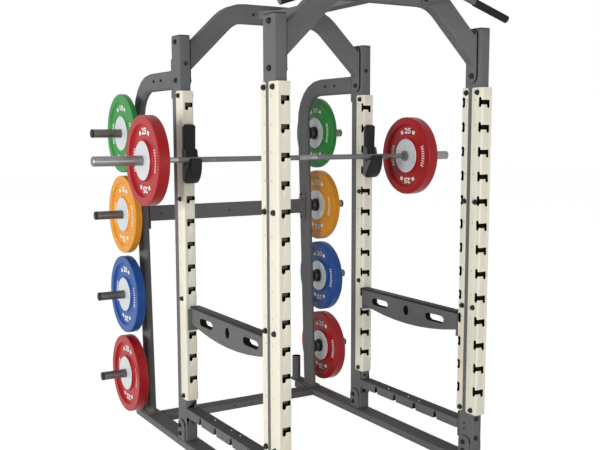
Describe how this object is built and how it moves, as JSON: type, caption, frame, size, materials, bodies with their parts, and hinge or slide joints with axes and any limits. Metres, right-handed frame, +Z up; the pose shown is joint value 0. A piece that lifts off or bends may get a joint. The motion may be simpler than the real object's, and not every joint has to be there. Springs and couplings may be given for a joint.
{
  "type": "power rack",
  "caption": "Power rack with slotted cream channel covers, arched tops, pull-up bar, safety arms, bar hooks, a loaded barbell and eight colour plates stored on rear horns.",
  "frame": {"origin": "the middle of the rack's footprint on the floor, under the centre of its bounding box", "axes": "X runs along the barbell to the right, Y from the open front to the storage posts at the back, Z up"},
  "size_m": [2.2, 2.0592, 2.37],
  "materials": {
    "grey_powder_coat": "satin gloss powder coat",
    "cream_powder_coat": "satin powder coat",
    "black_polymer": "moulded, matt",
    "bright_steel": "hard chrome, slightly brushed",
    "red_rubber": "moulded, satin",
    "blue_rubber": "moulded, satin",
    "amber_rubber": "moulded, satin",
    "green_rubber": "moulded, satin"
  },
  "bodies": {
    "rack": {"rear_floor_crossmember": "grey_powder_coat", "arch_front": "grey_powder_coat", "arch_rear": "grey_powder_coat", "centre_beam": "grey_powder_coat", "pull_up_bar": "grey_powder_coat", "rear_crossmember": "grey_powder_coat", "base_beam_left": "grey_powder_coat", "foot_bracket_front_left": "grey_powder_coat", "foot_bracket_middle_left": "grey_powder_coat", "upright_front_left": "grey_powder_coat", "upright_middle_left": "grey_powder_coat", "side_rail_left": "grey_powder_coat", "storage_post_left": "grey_powder_coat", "bar_holder_left": "grey_powder_coat", "bar_hook_left": "grey_powder_coat", "cover_front_left": "cream_powder_coat", "cover_middle_left": "cream_powder_coat", "cover_inside_left": "cream_powder_coat", "grip_left": "black_polymer", "hook_liner_left": "black_polymer", "storage_horn_red_left": "bright_steel", "storage_horn_blue_left": "bright_steel", "storage_horn_amber_left": "bright_steel", "storage_horn_green_left": "bright_steel", "base_beam_right": "grey_powder_coat", "foot_bracket_front_right": "grey_powder_coat", "foot_bracket_middle_right": "grey_powder_coat", "upright_front_right": "grey_powder_coat", "upright_middle_right": "grey_powder_coat", "side_rail_right": "grey_powder_coat", "storage_post_right": "grey_powder_coat", "bar_holder_right": "grey_powder_coat", "bar_hook_right": "grey_powder_coat", "cover_front_right": "cream_powder_coat", "cover_middle_right": "cream_powder_coat", "cover_inside_right": "cream_powder_coat", "grip_right": "black_polymer", "hook_liner_right": "black_polymer", "storage_horn_red_right": "bright_steel", "storage_horn_blue_right": "bright_steel", "storage_horn_amber_right": "bright_steel", "storage_horn_green_right": "bright_steel"},
    "barbell": {"barbell_shaft": "bright_steel"},
    "barbell_sleeve_left": {"barbell_sleeve_left": "bright_steel"},
    "bar_plate_left": {"bar_plate_left": "red_rubber"},
    "plate_red_left": {"plate_red_left": "red_rubber"},
    "plate_blue_left": {"plate_blue_left": "blue_rubber"},
    "plate_amber_left": {"plate_amber_left": "amber_rubber"},
    "plate_green_left": {"plate_green_left": "green_rubber"},
    "safety_arm_left": {"safety_arm_left": "grey_powder_coat", "arm_liner_left": "black_polymer"},
    "barbell_sleeve_right": {"barbell_sleeve_right": "bright_steel"},
    "bar_plate_right": {"bar_plate_right": "red_rubber"},
    "plate_red_right": {"plate_red_right": "red_rubber"},
    "plate_blue_right": {"plate_blue_right": "blue_rubber"},
    "plate_amber_right": {"plate_amber_right": "amber_rubber"},
    "plate_green_right": {"plate_green_right": "green_rubber"},
    "safety_arm_right": {"safety_arm_right": "grey_powder_coat", "arm_liner_right": "black_polymer"}
  },
  "joints": [
    {"name": "barbell_lift", "type": "slide", "parent": "rack", "child": "barbell", "axis": [0, 0, 1], "range_m": [0, 0.2]},
    {"name": "sleeve_spin_left", "type": "hinge", "parent": "barbell", "child": "barbell_sleeve_left", "pos_m": [-0.93, 0.027, 1.5555], "axis": [1, 0, 0], "continuous": true},
    {"name": "bar_plate_slide_left", "type": "slide", "parent": "barbell_sleeve_left", "child": "bar_plate_left", "axis": [-1, 0, 0], "range_m": [0, 0.32]},
    {"name": "plate_slide_red_left", "type": "slide", "parent": "rack", "child": "plate_red_left", "axis": [-1, 0, 0], "range_m": [0, 0.21]},
    {"name": "plate_slide_blue_left", "type": "slide", "parent": "rack", "child": "plate_blue_left", "axis": [-1, 0, 0], "range_m": [0, 0.21]},
    {"name": "plate_slide_amber_left", "type": "slide", "parent": "rack", "child": "plate_amber_left", "axis": [-1, 0, 0], "range_m": [0, 0.21]},
    {"name": "plate_slide_green_left", "type": "slide", "parent": "rack", "child": "plate_green_left", "axis": [-1, 0, 0], "range_m": [0, 0.21]},
    {"name": "safety_arm_lift_left", "type": "slide", "parent": "rack", "child": "safety_arm_left", "axis": [0, 0, 1], "range_m": [0, 0.014]},
    {"name": "sleeve_spin_right", "type": "hinge", "parent": "barbell", "child": "barbell_sleeve_right", "pos_m": [0.93, 0.027, 1.5555], "axis": [1, 0, 0], "continuous": true},
    {"name": "bar_plate_slide_right", "type": "slide", "parent": "barbell_sleeve_right", "child": "bar_plate_right", "axis": [1, 0, 0], "range_m": [0, 0.32]},
    {"name": "plate_slide_red_right", "type": "slide", "parent": "rack", "child": "plate_red_right", "axis": [1, 0, 0], "range_m": [0, 0.21]},
    {"name": "plate_slide_blue_right", "type": "slide", "parent": "rack", "child": "plate_blue_right", "axis": [1, 0, 0], "range_m": [0, 0.21]},
    {"name": "plate_slide_amber_right", "type": "slide", "parent": "rack", "child": "plate_amber_right", "axis": [1, 0, 0], "range_m": [0, 0.21]},
    {"name": "plate_slide_green_right", "type": "slide", "parent": "rack", "child": "plate_green_right", "axis": [1, 0, 0], "range_m": [0, 0.21]},
    {"name": "safety_arm_lift_right", "type": "slide", "parent": "rack", "child": "safety_arm_right", "axis": [0, 0, 1], "range_m": [0, 0.014]}
  ]
}
